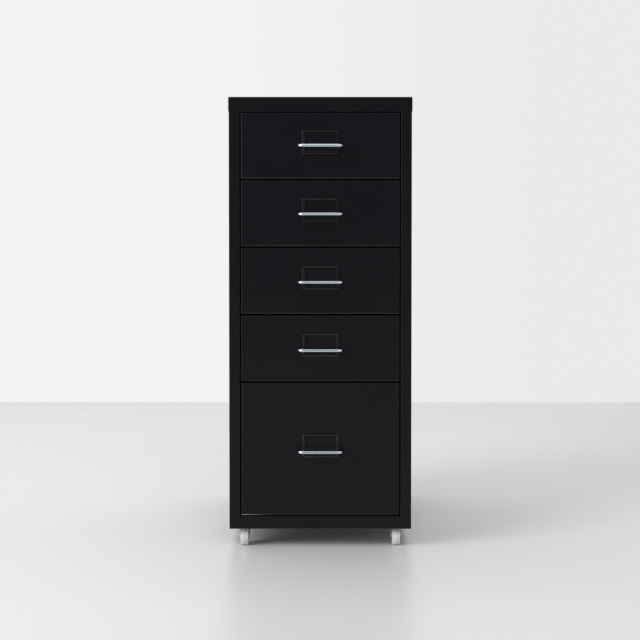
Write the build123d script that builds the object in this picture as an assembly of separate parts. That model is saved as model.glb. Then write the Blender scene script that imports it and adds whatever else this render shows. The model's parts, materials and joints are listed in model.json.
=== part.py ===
from build123d import *
import os

# Narrow drawer cabinet of folded sheet steel: four shallow drawers over a deep one, on four swivel casters.
# Millimetres. +Z is up and the drawer fronts face -Y. X runs to the right as one looks at the fronts.
# The origin is on the floor, under the middle of the overall width and depth.

# Overall sizes.
cap_width = 280.0
overall_height = 690.0
body_depth = 400.0  # front plane of the drawers to the rear face of the side panels

# Sheet metal.
sheet = 0.7
bend_inside = 0.5
fit_gap = 0.2  # between two folded pieces that slip into each other

# Side panels, folded into a box stile along the front and the rear edge.
stile_width = 16.5
return_depth = 30.0

# Top cap.
cap_skirt = 22.0
cap_lip = 10.0

# Base pan with its front plinth.
plinth_height = 19.4
base_recess = 12.0  # bottom edge of the body up to the underside of the base
plinth_lip = 8.0
plinth_depth = 12.0
flange_stop = 1.0  # base pan's flanges end this far above the body's bottom edge

# Back panel and its screws.
back_overlap = 12.0  # back panel over each rear stile
screw_rows = 4
screw_end_margin = 32.0
screw_radius = 1.6
screw_length = 6.5
screw_head_radius = 3.2
screw_head_height = 1.3
screw_hole_gap = 0.15

# Drawers, from the top down, in units of one shallow drawer.
drawer_units = [1, 1, 1, 1, 2]
front_gap = 2.2  # between two drawer fronts
end_gap = 1.5  # above the first front and below the last
side_gap = 1.5  # between a front and each stile
front_depth = 14.0
front_bend = 2.2  # outside radius of a drawer front's pressed edges
corner_notch = 2.4

# Trays.
tray_rise = 5.0  # front's bottom edge up to the tray's underside
tray_drop = 16.0  # front's top edge down to the tray's rim
tray_rear_gap = 9.0
tray_side_gap = 2.8  # tray side to the rail's web
weld_flange = 10.0
hem_height = 6.0
ear_length = 14.0
ear_gap = 1.2  # under the rail above
corner_margin = 2.0

# Rails that the trays slide on.
rail_sheet = 1.0
rail_height = 15.0
ledge_width = 12.0
rail_rear_setback = 2.0
ledge_corner = 4.0
glide_gap = 0.3

# Stops at both ends of the travel.
drawer_travel = 300.0
closed_gap = 0.4  # a closed front to the ends of its rails
open_gap = 0.4  # a tray's ear to the rail's stop, fully open
stop_side_gap = 0.8
stop_length = 5.0
stop_rise = 4.0  # ledge's top up to the stop
stop_drop = 2.0  # web's top edge down to the stop

# Wire handles.
wire_radius = 2.3
handle_width = 69.0
handle_reach = 28.0
handle_bend = 6.0
handle_drop = 0.9  # bar below the middle of its front
tail_radius = 1.8  # the wire's ends, turned down to a shoulder
tail_length = 5.0  # inside the drawer front
tail_hole_gap = 0.15
washer_radius = 5.0
washer_thickness = 0.8
washer_gap = 0.05

# Label holders.
holder_leg_gap = 2.4  # each side, to the handle's legs
holder_above = 23.9  # handle's centre to the holder's top
holder_below = 11.6
holder_proud = 2.2
holder_sheet = 0.8
holder_side_bar = 3.4
holder_top_bar = 2.6
holder_bottom_bar = 4.4
holder_corner = 2.0
tab_height = 8.0
tab_length = 1.5
tab_washer_gap = 1.4

# Casters. The wheels set the height that the body stands at.
caster_inset = 38.0  # body's front or rear plane to the swivel axis
plate_side = 38.0
plate_side_gap = 1.9  # to the base pan's side flange
plate_thickness = 1.5
plate_corner = 4.0
rivet_margin = 5.0  # plate's edge to the rivet's centre
rivet_radius = 1.8
rivet_head_radius = 3.4
rivet_head_height = 0.9
rivet_hole_gap = 0.1
race_radius = 11.0
race_wall = 1.0
race_depth = 2.6
crown_drop = 3.2  # plate's underside down to the fork's crown
crown_radius = 12.5
crown_thickness = 1.6
crown_wheel_gap = 4.7
kingpin_radius = 3.0
kingpin_flare = 1.0
kingpin_shoulder_radius = 7.0
kingpin_head_radius = 5.5
kingpin_head_height = 1.4
swivel_play = 0.15
trail = 13.0  # swivel axis to the wheel's axle
wheel_radius = 15.5
wheel_width = 12.0
wheel_shoulder = 1.5
wheel_side_gap = 0.7
hub_radius = 4.6
hub_side_gap = 0.3
web_inner_radius = 6.0
web_outer_radius = 12.0
web_recess = 2.2
leg_thickness = 1.1
leg_foot_radius = 3.6
leg_top_width = 18.0
axle_radius = 2.0
axle_head_radius = 3.0
axle_head_height = 0.8
running_gap = 0.05

# Places worked out from the sizes above.
bend_radius = bend_inside + sheet
body_half = cap_width / 2 - sheet
overall_depth = handle_reach + body_depth + sheet + screw_head_height
front_y = handle_reach - overall_depth / 2
rear_y = front_y + body_depth
inner_rear_y = rear_y - sheet
return_x = body_half - stile_width
inner_x = body_half - sheet
cap_underside = overall_height - sheet
crown_bottom = 2 * wheel_radius + crown_wheel_gap
crown_top = crown_bottom + crown_thickness
plate_underside = crown_top + crown_drop
base_z = plate_underside + plate_thickness
base_top = base_z + sheet
floor_gap = base_z - base_recess
opening_top = overall_height - cap_skirt
opening_bottom = floor_gap + plinth_height
pitch = (opening_top - opening_bottom + front_gap - 2 * end_gap) / sum(drawer_units)
front_half = return_x - side_gap
tray_half = return_x - rail_sheet - tray_side_gap
tray_rear = inner_rear_y - tray_rear_gap
hem_thickness = sheet + fit_gap
web_x = return_x - rail_sheet
rail_front_y = front_y + front_depth + closed_gap
rail_rear_y = inner_rear_y - rail_rear_setback
stop_reach = tray_side_gap - stop_side_gap
ear_rear_y = tray_rear - corner_margin
stop_ear_front_y = ear_rear_y - stop_length
rail_stop_rear_y = stop_ear_front_y - drawer_travel - open_gap
back_half = body_half - stile_width + back_overlap
screw_x = return_x + back_overlap / 2
handle_half = handle_width / 2 - wire_radius
holder_half = handle_half - wire_radius - holder_leg_gap
flange_x = inner_x - sheet
caster_x = flange_x - plate_side_gap - plate_side / 2
leg_inner_x = wheel_width / 2 + wheel_side_gap
leg_outer_x = leg_inner_x + leg_thickness
cut = 1.0  # how far a cutting block runs past the face it opens


def block(x, y, z):
    """A box between pairs of lowest and highest values along X, Y and Z."""
    size = [high - low for low, high in (x, y, z)]
    middle = [(high + low) / 2 for low, high in (x, y, z)]
    return Pos(*middle) * Box(*size)


def along_x(radius, y, z, x):
    """A round bar along X, between a pair of X values."""
    return extrude(Plane((x[0], y, z), z_dir=(1, 0, 0)) * Circle(radius), x[1] - x[0])


def along_y(radius, x, z, y):
    """A round bar along Y, between a pair of Y values."""
    return extrude(Plane((x, y[0], z), z_dir=(0, 1, 0)) * Circle(radius), y[1] - y[0])


def along_z(radius, x, y, z):
    """A round bar along Z, between a pair of Z values."""
    return extrude(Plane((x, y, z[0]), z_dir=(0, 0, 1)) * Circle(radius), z[1] - z[0])


def edges_at(shape, axis, **places):
    """The shape's edges along axis whose middle lies at the given x, y or z, within a hundredth."""
    found = shape.edges().filter_by(axis)
    near = 0.01
    for name, place in places.items():
        low, high = place - near, place + near
        found = found.filter_by(lambda edge: low < getattr(edge.center(), name.upper()) < high)
    return found


def edges_of_face(shape, axis, index):
    """The edges of the shape's lowest (0) or highest (-1) face along an axis."""
    return shape.faces().sort_by(axis)[index].edges()


def mirrored(shape):
    """The same piece on the cabinet's other side."""
    return mirror(shape, about=Plane.YZ)


def front_heights():
    """Lowest and highest Z of each drawer front, from the top drawer down."""
    top = opening_top - end_gap
    spans = []
    for units in drawer_units:
        bottom = top - (units * pitch - front_gap)
        spans.append((bottom, top))
        top = bottom - front_gap
    return spans


def rail_z(front_bottom):
    """Underside of the rail's ledge that carries the drawer whose front starts at this height."""
    return front_bottom + tray_rise - glide_gap - rail_sheet


def stop_heights(rail_bottom):
    """Lowest and highest Z of a rail's stop, and of the ear that meets it."""
    return rail_bottom + rail_sheet + stop_rise, rail_bottom + rail_height - stop_drop


def back_screw_heights():
    """Heights of the screws along each rear stile, evenly spaced between the two end margins."""
    low = floor_gap + screw_end_margin
    step = (opening_top - screw_end_margin - low) / (screw_rows - 1)
    return [low + step * row for row in range(screw_rows)]


def back_screw_places():
    """X and Z of every screw in the back panel."""
    return [(side * screw_x, z) for side in (-1, 1) for z in back_screw_heights()]


def screw_holes(y):
    """Cutters for the back panel's screws, between a pair of Y values."""
    radius = screw_radius + screw_hole_gap
    return Compound([along_y(radius, x, z, y) for x, z in back_screw_places()])


def side_panel():
    """Right side panel: outer wall, front and rear stile faces, and a return behind each stile."""
    outer = block((return_x, body_half), (front_y, rear_y), (floor_gap, cap_underside))
    outer = fillet(outer.edges().filter_by(Axis.Z), bend_radius)
    hollow = block(
        (return_x + sheet, inner_x),
        (front_y + sheet, inner_rear_y),
        (floor_gap - cut, cap_underside + cut),
    )
    hollow = fillet(hollow.edges().filter_by(Axis.Z), bend_radius - sheet)
    between_returns = block(
        (return_x - cut, return_x + 2 * sheet),
        (front_y + return_depth, rear_y - return_depth),
        (floor_gap - cut, cap_underside + cut),
    )
    below_base = block(
        (return_x - cut, return_x + bend_radius),
        (front_y + sheet, inner_rear_y),
        (floor_gap - cut, base_top),
    )
    panel = outer - hollow - between_returns - below_base
    return panel - screw_holes((inner_rear_y - cut, rear_y + cut))


def back_panel():
    """Flat back sheet, screwed over both rear stiles, its top edge under the cap's rear skirt."""
    panel = block((-back_half, back_half), (rear_y, rear_y + sheet), (floor_gap, cap_underside))
    panel = fillet(edges_at(panel, Axis.Y, z=floor_gap), bend_radius)
    return panel - screw_holes((rear_y - cut, rear_y + sheet + cut))


def top_cap():
    """Top sheet with a skirt on all four sides and a lip turned in over the top drawer."""
    cap_half = cap_width / 2
    cap_front, cap_rear = front_y - sheet, rear_y + 2 * sheet
    outer = block((-cap_half, cap_half), (cap_front, cap_rear), (opening_top, overall_height))
    bends = outer.edges().filter_by(Axis.Z) + edges_of_face(outer, Axis.Z, -1)
    outer = fillet(bends, bend_radius)
    hollow = block(
        (-body_half, body_half),
        (front_y, rear_y + sheet),
        (opening_top - cut, cap_underside),
    )
    hollow = fillet(hollow.edges().filter_by(Axis.Z), bend_radius - sheet)
    lip_half = return_x - fit_gap
    lip = block((-lip_half, lip_half), (cap_front, front_y + cap_lip), (opening_top, opening_top + sheet))
    lip = fillet(edges_at(lip, Axis.X, y=cap_front, z=opening_top), bend_radius - sheet)
    skirt_edge = block(
        (-lip_half, lip_half),
        (cap_front - cut, front_y),
        (opening_top - cut, opening_top + sheet),
    )
    return (outer - hollow - skirt_edge) + lip


def base_pan():
    """Floor of the body with its flanges turned down, and the plinth folded up and over at the front."""
    plinth_half = return_x - fit_gap
    floor_front_y = front_y + sheet + fit_gap
    flange_low = floor_gap + flange_stop
    down_y = front_y + plinth_depth
    outer = block((-inner_x, inner_x), (floor_front_y, inner_rear_y), (flange_low, base_top))
    outer = fillet(outer.edges().filter_by(Axis.Z), bend_radius)
    hollow = block(
        (-flange_x, flange_x),
        (floor_front_y - cut, inner_rear_y - sheet),
        (flange_low - cut, base_z),
    )
    behind_plinth = block(
        (-plinth_half, plinth_half),
        (floor_front_y - cut, down_y),
        (flange_low - cut, base_top + cut),
    )
    pan = outer - hollow - behind_plinth
    x = (-plinth_half, plinth_half)
    face = block(x, (front_y, down_y + sheet), (floor_gap, opening_bottom))
    front_bends = edges_at(face, Axis.X, y=front_y)
    rear_bend = edges_at(face, Axis.X, y=down_y + sheet, z=opening_bottom)
    face = fillet(front_bends + rear_bend, bend_radius)
    channel = block(x, (front_y + sheet, down_y), (floor_gap + sheet, opening_bottom - sheet))
    foot = block(x, (front_y + plinth_lip, down_y + sheet + cut), (floor_gap - cut, base_z))
    gap_ahead_of_floor = block(x, (front_y + plinth_lip, down_y), (floor_gap - cut, base_z + cut))
    pan += face - channel - foot - gap_ahead_of_floor
    for x, y in rivet_places():
        pan -= along_z(rivet_radius + rivet_hole_gap, x, y, (base_z - cut, base_top + cut))
    return pan


def rail(z, with_stop=True):
    """Right-hand angle rail: a web welded to the stile returns, and a ledge turned in under the tray."""
    web = block((web_x, return_x), (rail_front_y, rail_rear_y), (z, z + rail_height))
    ledge = block((return_x - ledge_width, return_x), (rail_front_y, rail_rear_y), (z, z + rail_sheet))
    angle = web + ledge
    angle = chamfer(edges_at(angle, Axis.Z, x=return_x - ledge_width), ledge_corner)
    angle = fillet(edges_at(angle, Axis.Y, x=return_x, z=z), rail_sheet)
    if with_stop:
        stop_y = (rail_stop_rear_y - stop_length, rail_stop_rear_y)
        angle += block((web_x - stop_reach, web_x), stop_y, stop_heights(z))
    return angle


def handle_height(span):
    """Height of a front's handle, a little below the middle of the front."""
    return (span[0] + span[1]) / 2 - handle_drop


def tab_heights(span):
    """Lowest and highest Z of the label holder's tabs, which pass the front above the washers."""
    low = handle_height(span) + washer_radius + tab_washer_gap
    return low, low + tab_height


def drawer_front(span):
    """Shallow pressed pan with its open side to the rear, pierced for the handle and the label holder."""
    bottom, top = span
    middle = handle_height(span)
    rear = front_y + front_depth
    pan = block((-front_half, front_half), (front_y, rear), (bottom, top))
    pan = fillet(pan.edges() - edges_of_face(pan, Axis.Y, -1), front_bend)
    inside = block(
        (-front_half + sheet, front_half - sheet),
        (front_y + sheet, rear + cut),
        (bottom + sheet, top - sheet),
    )
    pan -= fillet(inside.edges() - edges_of_face(inside, Axis.Y, -1), front_bend - sheet)
    notch_y = (front_y + front_bend, rear + cut)
    for side in (-1, 1):
        x = sorted((side * (front_half - corner_notch), side * (front_half + cut)))
        pan -= block(x, notch_y, (bottom - cut, bottom + corner_notch))
        pan -= block(x, notch_y, (top - corner_notch, top + cut))
        through_y = (front_y - cut, front_y + sheet + cut)
        pan -= along_y(tail_radius + tail_hole_gap, side * handle_half, middle, through_y)
        slot_x = sorted((side * (holder_half - holder_sheet - fit_gap), side * (holder_half + fit_gap)))
        slot_low, slot_high = tab_heights(span)
        pan -= block(slot_x, through_y, (slot_low - fit_gap, slot_high + fit_gap))
    return pan


def drawer_tray(span, rail_above):
    """Open-topped folded tray with hemmed rims, weld flanges at the front and ears at the rear."""
    bottom, rim = span[0] + tray_rise, span[1] - tray_drop
    start = front_y + sheet
    outer = block((-tray_half, tray_half), (start, tray_rear), (bottom, rim))
    folds = edges_at(outer, Axis.Y, z=bottom) + edges_at(outer, Axis.Z, y=tray_rear)
    folds += edges_at(outer, Axis.X, y=tray_rear, z=bottom)
    outer = fillet(folds, bend_radius)
    inside_half = tray_half - sheet
    inside_rear = tray_rear - sheet
    inside = block((-inside_half, inside_half), (start + sheet, inside_rear), (bottom + sheet, rim + cut))
    window = block(
        (-tray_half + weld_flange, tray_half - weld_flange),
        (start - cut, start + sheet + cut),
        (bottom + weld_flange, rim + cut),
    )
    hem_half = inside_half - hem_thickness
    hem = block((-inside_half, inside_half), (start + sheet, inside_rear), (rim - hem_height, rim))
    hem -= block(
        (-hem_half, hem_half),
        (start, inside_rear - hem_thickness),
        (rim - hem_height - cut, rim + cut),
    )
    tray = outer - inside - window + hem
    for side in (-1, 1):
        wall = sorted((side * inside_half, side * tray_half))
        ear_y = (ear_rear_y - ear_length, ear_rear_y)
        tray += block(wall, ear_y, (rim, rail_above - ear_gap))
        stop_x = sorted((side * tray_half, side * (tray_half + stop_reach)))
        tray += block(stop_x, (stop_ear_front_y, ear_rear_y), stop_heights(rail_z(span[0])))
    return tray


def label_holder(span):
    """Pressed card holder: a window frame held off the front, open at the top, with a tab each side."""
    middle = handle_height(span)
    bottom, top = middle - holder_below, middle + holder_above
    face_y = front_y - holder_proud
    shell = block((-holder_half, holder_half), (face_y, front_y), (bottom, top))
    shell = fillet(shell.edges().filter_by(Axis.Y), holder_corner)
    shell = fillet(edges_of_face(shell, Axis.Y, 0), holder_sheet / 2)
    slot_half = holder_half - holder_sheet
    card_slot = block(
        (-slot_half, slot_half),
        (face_y + holder_sheet, front_y + cut),
        (bottom + holder_sheet, top + cut),
    )
    window_half = holder_half - holder_side_bar
    window = block(
        (-window_half, window_half),
        (face_y - cut, face_y + holder_sheet + cut),
        (bottom + holder_bottom_bar, top - holder_top_bar),
    )
    window = fillet(window.edges().filter_by(Axis.Y), holder_corner / 2)
    holder = shell - card_slot - window
    for side in (-1, 1):
        x = sorted((side * slot_half, side * holder_half))
        holder += block(x, (front_y - holder_sheet, front_y + sheet + tab_length), tab_heights(span))
    return holder


def handle(span):
    """One bent wire: a bar in front, and a leg at each end that goes back through the drawer front."""
    middle = handle_height(span)
    bar_y = front_y - handle_reach + wire_radius
    corners = [(-handle_half, front_y), (-handle_half, bar_y), (handle_half, bar_y), (handle_half, front_y)]
    path = FilletPolyline(*[(x, y, middle) for x, y in corners], radius=handle_bend)
    start = Plane(origin=path @ 0, z_dir=path % 0)
    wire = sweep(start * Circle(wire_radius), path)
    for side in (-1, 1):
        tail_y = (front_y - wire_radius, front_y + sheet + tail_length)
        wire += along_y(tail_radius, side * handle_half, middle, tail_y)
    return wire


def handle_washers(span):
    """Two push-on washers that lock the wire's ends behind the drawer front."""
    middle = handle_height(span)
    inner_y = front_y + sheet
    washers = []
    for side in (-1, 1):
        x = side * handle_half
        disc = along_y(washer_radius, x, middle, (inner_y, inner_y + washer_thickness))
        bore_y = (inner_y - cut, inner_y + washer_thickness + cut)
        washers.append(disc - along_y(tail_radius + washer_gap, x, middle, bore_y))
    return Compound(washers)


def caster_places():
    """Name and swivel axis of each caster."""
    front, rear = front_y + caster_inset, rear_y - caster_inset
    return {
        "front_left": (-caster_x, front),
        "front_right": (caster_x, front),
        "rear_left": (-caster_x, rear),
        "rear_right": (caster_x, rear),
    }


def plate_rivets(x, y):
    """X and Y of the four rivets of the caster at x and y."""
    half = plate_side / 2 - rivet_margin
    return [(x + dx, y + dy) for dx in (-half, half) for dy in (-half, half)]


def rivet_places():
    """X and Y of every rivet that holds a caster plate."""
    return [place for x, y in caster_places().values() for place in plate_rivets(x, y)]


def caster_plate(x, y):
    """Mounting plate with the pressed race cup under it."""
    half = plate_side / 2
    plate = block((x - half, x + half), (y - half, y + half), (plate_underside, base_z))
    plate = fillet(plate.edges().filter_by(Axis.Z), plate_corner)
    cup_z = (plate_underside - race_depth, plate_underside + plate_thickness / 2)
    cup = along_z(race_radius + race_wall, x, y, cup_z)
    cup -= along_z(race_radius, x, y, (cup_z[0] - cut, plate_underside))
    plate += cup
    hole_z = (plate_underside - cut, base_z + cut)
    plate -= along_z(kingpin_radius + running_gap, x, y, hole_z)
    plate -= flare(x, y, running_gap)
    for hole_x, hole_y in plate_rivets(x, y):
        plate -= along_z(rivet_radius + rivet_hole_gap, hole_x, hole_y, hole_z)
    return plate


def flare(x, y, gap=0.0):
    """The kingpin's spread upper end, or with a gap, the countersink that it fills."""
    cone = Cone(kingpin_radius + gap, kingpin_radius + gap + kingpin_flare, kingpin_flare)
    return Pos(x, y, base_z - kingpin_flare / 2) * cone


def kingpin(x, y):
    """Rivet that the fork swivels on: flared into the plate, a shoulder above the crown, a head below."""
    head_top = crown_bottom - swivel_play
    pin = along_z(kingpin_radius, x, y, (head_top, base_z)) + flare(x, y)
    pin += along_z(kingpin_shoulder_radius, x, y, (crown_top + swivel_play, plate_underside))
    head = along_z(kingpin_head_radius, x, y, (head_top - kingpin_head_height, head_top))
    return pin + fillet(edges_of_face(head, Axis.Z, 0), kingpin_head_height / 2)


def caster_fork(x, y):
    """Pressed fork: a round crown under the plate and two legs that taper down to the axle."""
    crown = along_z(crown_radius, x, y, (crown_bottom, crown_top))
    with BuildSketch(Plane.YZ) as outline:
        with Locations((y - trail, wheel_radius)):
            Circle(leg_foot_radius)
        with Locations((y, crown_bottom + crown_thickness / 2)):
            Rectangle(leg_top_width, crown_thickness)
        make_hull()
    fork = crown
    for low in (x - leg_outer_x, x + leg_inner_x):
        fork += extrude(Pos(low, 0, 0) * outline.sketch, leg_thickness, dir=(1, 0, 0))
    kingpin_z = (crown_bottom - cut, crown_top + cut)
    fork -= along_z(kingpin_radius + running_gap, x, y, kingpin_z)
    axle_x = (x - leg_outer_x - cut, x + leg_outer_x + cut)
    return fork - along_x(axle_radius + running_gap, y - trail, wheel_radius, axle_x)


def caster_axle(x, y):
    """Riveted axle with a head outside each leg."""
    wheel_y = y - trail
    axle = along_x(axle_radius, wheel_y, wheel_radius, (x - leg_outer_x, x + leg_outer_x))
    for side in (-1, 1):
        head_x = sorted((x + side * leg_outer_x, x + side * (leg_outer_x + axle_head_height)))
        axle += along_x(axle_head_radius, wheel_y, wheel_radius, head_x)
    return axle


def caster_wheel(x, y):
    """Moulded wheel with rounded shoulders, a recessed web on each side and a hub that runs on the axle."""
    wheel_y = y - trail
    half = wheel_width / 2
    wheel = along_x(wheel_radius, wheel_y, wheel_radius, (x - half, x + half))
    wheel = fillet(wheel.edges(), wheel_shoulder)
    for side in (-1, 1):
        recess = sorted((x + side * (half - web_recess), x + side * (half + cut)))
        ring = along_x(web_outer_radius, wheel_y, wheel_radius, recess)
        ring -= along_x(web_inner_radius, wheel_y, wheel_radius, (recess[0] - cut, recess[1] + cut))
        wheel -= ring
    hub_half = leg_inner_x - hub_side_gap
    wheel += along_x(hub_radius, wheel_y, wheel_radius, (x - hub_half, x + hub_half))
    bore = (x - hub_half - cut, x + hub_half + cut)
    return wheel - along_x(axle_radius + running_gap, wheel_y, wheel_radius, bore)


def caster_rivet(x, y):
    """Rivet through the caster plate and the base pan, with a head on each side."""
    rivet = along_z(rivet_radius, x, y, (plate_underside, base_top))
    rivet += along_z(rivet_head_radius, x, y, (plate_underside - rivet_head_height, plate_underside))
    return rivet + along_z(rivet_head_radius, x, y, (base_top, base_top + rivet_head_height))


def back_screw(x, z):
    """Pan-head screw through the back panel into the rear stile."""
    seat = rear_y + sheet
    head = along_y(screw_head_radius, x, z, (seat, seat + screw_head_height))
    head = fillet(edges_of_face(head, Axis.Y, -1), screw_head_height / 2)
    return head + along_y(screw_radius, x, z, (seat - screw_length, seat))


def save(name, shape):
    """Writes one node."""
    shape.label = name
    export_step(shape, f"parts/{name}.step")


def save_body():
    """Writes the fixed panels, the rails and the back panel's screws."""
    panel = side_panel()
    save("right_side_panel", panel)
    save("left_side_panel", mirrored(panel))
    save("back_panel", back_panel())
    save("top_cap", top_cap())
    save("base_pan", base_pan())
    save("back_screws", Compound([back_screw(x, z) for x, z in back_screw_places()]))
    for number, span in enumerate(front_heights(), 1):
        right = rail(rail_z(span[0]))
        save(f"right_rail_{number}", right)
        save(f"left_rail_{number}", mirrored(right))
    guide = rail(rail_z(opening_top + front_gap - end_gap), with_stop=False)
    save("top_guides", Compound([guide, mirrored(guide)]))


def save_drawers():
    """Writes the five pieces of every drawer."""
    rail_above = rail_z(opening_top + front_gap - end_gap)
    for number, span in enumerate(front_heights(), 1):
        name = f"drawer_{number}"
        save(f"{name}_front", drawer_front(span))
        save(f"{name}_tray", drawer_tray(span, rail_above))
        save(f"{name}_label_holder", label_holder(span))
        save(f"{name}_handle", handle(span))
        save(f"{name}_handle_washers", handle_washers(span))
        rail_above = rail_z(span[0])


def save_casters():
    """Writes the pieces of every caster, with the kingpins and the rivets as two groups."""
    for name, (x, y) in caster_places().items():
        save(f"caster_{name}_plate", caster_plate(x, y))
        save(f"caster_{name}_fork", caster_fork(x, y))
        save(f"caster_{name}_axle", caster_axle(x, y))
        save(f"caster_{name}_wheel", caster_wheel(x, y))
    save("caster_kingpins", Compound([kingpin(x, y) for x, y in caster_places().values()]))
    save("caster_rivets", Compound([caster_rivet(x, y) for x, y in rivet_places()]))


os.makedirs("parts", exist_ok=True)
save_body()
save_drawers()
save_casters()
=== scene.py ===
"""Looks of a narrow sheet-steel drawer cabinet on casters: finishes, fine fittings, studio and camera.

Lengths are metres in the cabinet's own frame: +Z up, the drawer fronts face -Y, +X to the right.
"""

import json
import logging
import math
from dataclasses import dataclass, field, replace
from enum import Enum
from typing import Any, Iterable, Sequence

import bmesh
import bpy
from mathutils import Matrix, Vector
from mathutils.geometry import convex_hull_2d

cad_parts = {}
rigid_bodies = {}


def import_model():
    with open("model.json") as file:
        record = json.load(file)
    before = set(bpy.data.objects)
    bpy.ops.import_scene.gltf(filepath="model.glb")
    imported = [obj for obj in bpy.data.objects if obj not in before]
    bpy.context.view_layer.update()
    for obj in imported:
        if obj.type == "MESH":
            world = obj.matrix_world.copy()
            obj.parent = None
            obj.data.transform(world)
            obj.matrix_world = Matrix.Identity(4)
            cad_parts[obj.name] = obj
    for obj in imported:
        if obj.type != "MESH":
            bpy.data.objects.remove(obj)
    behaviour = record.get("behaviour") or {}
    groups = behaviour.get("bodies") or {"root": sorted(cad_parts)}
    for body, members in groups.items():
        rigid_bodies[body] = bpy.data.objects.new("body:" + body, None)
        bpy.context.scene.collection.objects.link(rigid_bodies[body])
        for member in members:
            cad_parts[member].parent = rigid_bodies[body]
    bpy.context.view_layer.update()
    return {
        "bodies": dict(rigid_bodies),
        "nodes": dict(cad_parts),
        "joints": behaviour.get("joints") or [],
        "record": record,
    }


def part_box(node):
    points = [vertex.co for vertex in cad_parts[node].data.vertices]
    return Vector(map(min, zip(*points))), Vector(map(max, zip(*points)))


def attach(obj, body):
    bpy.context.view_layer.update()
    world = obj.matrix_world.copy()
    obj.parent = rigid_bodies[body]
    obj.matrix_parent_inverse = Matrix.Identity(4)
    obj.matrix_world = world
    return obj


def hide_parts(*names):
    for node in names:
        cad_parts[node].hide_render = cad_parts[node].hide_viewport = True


LOG = logging.getLogger("cabinet")
MM = 0.001
FULL_TURN = 2 * math.pi
SHARP_TURN = math.radians(40.0)  # edges that turn more than this stay sharp
LEVEL = 1e-9  # a run that rises less than this counts as level

USUAL = (0.3, 0.7)  # where most of a noise's values lie
SHARE = (0.0, 1.0)
EDGE_TURN = (0.98, 0.80)  # cosines of the turn at which an edge begins and is full
EDGE_SAMPLES = 4
BEND_TURN = (0.995, 0.93)  # the same for a bend away from the upright and level flats
DOWNWARD = (-0.06, -0.35)  # how far down a bend faces where it begins and is full

Pair = tuple[float, float]
Point = tuple[float, float, float]
Colour = tuple[float, float, float]
Node = bpy.types.Node
Ring = list[bmesh.types.BMVert]
Inputs = dict[Any, Any]
Socket = bpy.types.NodeSocket
Material = bpy.types.Material
Object = bpy.types.Object
Mesh = bpy.types.Mesh
Shape = bmesh.types.BMesh


class Corner(Enum):
    """The casters' corners, with the signs of X and Y on each."""

    FRONT_LEFT = (-1, -1)
    FRONT_RIGHT = (1, -1)
    REAR_LEFT = (-1, 1)
    REAR_RIGHT = (1, 1)

    @property
    def body(self) -> str:
        """The corner's name in the frame's bodies and nodes."""
        return f"caster_{self.name.lower()}"


class Slot(Enum):
    """Material slots of the record that a piece can take its finish from."""

    BLACK_STEEL = "black_steel"
    BLACK_RAILS = "black_rails"
    CHROME = "chrome"
    ZINC = "zinc"
    WHITE_NYLON = "white_nylon"
    BLACK_SCREWS = "black_screws"


# Node trees


class NodeGraph:
    """A node tree, with a short call that adds a node and joins its sockets."""

    prefix = ""

    def __init__(self, tree: bpy.types.NodeTree) -> None:
        """Takes a tree over."""
        self.tree = tree

    def add(self, kind: str, inputs: Inputs | None = None, **settings: Any) -> Node:
        """Adds a node.

        Args:
            kind: The node's type, without the prefix of this kind of tree.
            inputs: Values or sockets for its inputs, by name or number.
            settings: The node's own properties.

        Returns:
            The new node.
        """
        node = self.tree.nodes.new(kind if "Node" in kind else self.prefix + kind)
        for name, value in settings.items():
            setattr(node, name, value)
        self.fill(node, inputs or {})
        return node

    def fill(self, node: Node, inputs: Inputs) -> None:
        """Sets a node's inputs.

        Args:
            node: The node.
            inputs: Values or sockets, by the input's name or number.
        """
        for name, value in inputs.items():
            if isinstance(value, Socket):
                self.tree.links.new(value, node.inputs[name])
            else:
                node.inputs[name].default_value = value

    def math(self, operation: str, first: Any, second: Any = 0.0) -> Socket:
        """One sum, product or other operation on two values."""
        return self.add("ShaderNodeMath", {0: first, 1: second}, operation=operation).outputs[0]


class ShaderGraph(NodeGraph):
    """The node tree of a material or of the world."""

    prefix = "ShaderNode"

    def span(self, value: Socket, source: Pair, target: Pair, **settings: Any) -> Socket:
        """Carries a value from a source range to a target range, held at both ends."""
        ends = {"From Min": source[0], "From Max": source[1], "To Min": target[0], "To Max": target[1]}
        return self.add("MapRange", {"Value": value, **ends}, **settings).outputs["Result"]

    def mix(self, share: Socket, first: Socket | Colour, second: Socket | Colour) -> Socket:
        """A mix of two colours, by the second one's share."""
        ends = [value if isinstance(value, Socket) else (*value, 1.0) for value in (first, second)]
        return self.add("Mix", {0: share, 6: ends[0], 7: ends[1]}, data_type="RGBA").outputs[2]


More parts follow.
